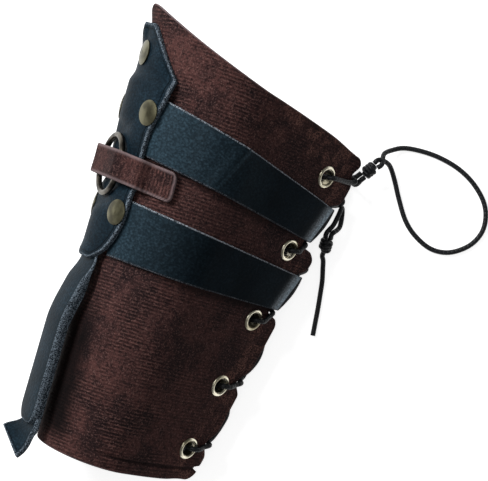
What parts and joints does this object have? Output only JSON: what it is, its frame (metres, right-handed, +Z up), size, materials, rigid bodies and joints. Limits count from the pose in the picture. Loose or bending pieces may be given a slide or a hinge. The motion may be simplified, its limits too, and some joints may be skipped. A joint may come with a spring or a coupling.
{
  "type": "leather arm guard",
  "caption": "Laced suede forearm cuff with black straps, a stiff guard plate under a riveted moulded cover, and a ring held by a keeper strap.",
  "frame": {"origin": "middle of the footprint of the guard without its loose lace, on the surface it lies on", "axes": "+X along the arm from the wrist to the elbow, +Y towards the guard plate, away from the lacing, +Z up"},
  "size_m": [0.2314, 0.1993, 0.084],
  "materials": {
    "brown_suede": "matt brown suede, mottled with near-black stain",
    "black_strap": "smooth black grain leather",
    "black_guard": "hard black moulded leather, pebbled",
    "ring_steel": "dull steel wire",
    "rivet_brass": "antique brass, worn",
    "eyelet_brass": "antique brass, bright on the rim",
    "lace_leather": "round black leather lace"
  },
  "bodies": {
    "bracer": {"cuff": "brown_suede", "strap_lower_near": "black_strap", "strap_lower_far": "black_strap", "strap_upper_near": "black_strap", "strap_upper_far": "black_strap", "guard_strip": "black_guard", "guard_plate": "black_guard", "guard_cover": "black_guard", "keeper_strap": "brown_suede", "rivet_caps": "rivet_brass", "rivet_posts": "rivet_brass", "eyelets_near": "eyelet_brass", "eyelets_far": "eyelet_brass", "washers_near": "eyelet_brass", "washers_far": "eyelet_brass", "lacing": "lace_leather", "top_knot": "lace_leather", "lower_knot": "lace_leather", "lace_tie": "lace_leather", "lace_loop": "lace_leather", "lace_tail": "lace_leather"},
    "ring": {"ring": "ring_steel"}
  },
  "joints": [
    {"name": "ring_spin", "type": "hinge", "parent": "bracer", "child": "ring", "pos_m": [0.03582, 0.05392, 0.05501], "axis": [-0.1344, 0.9122, 0.3872], "continuous": true}
  ]
}
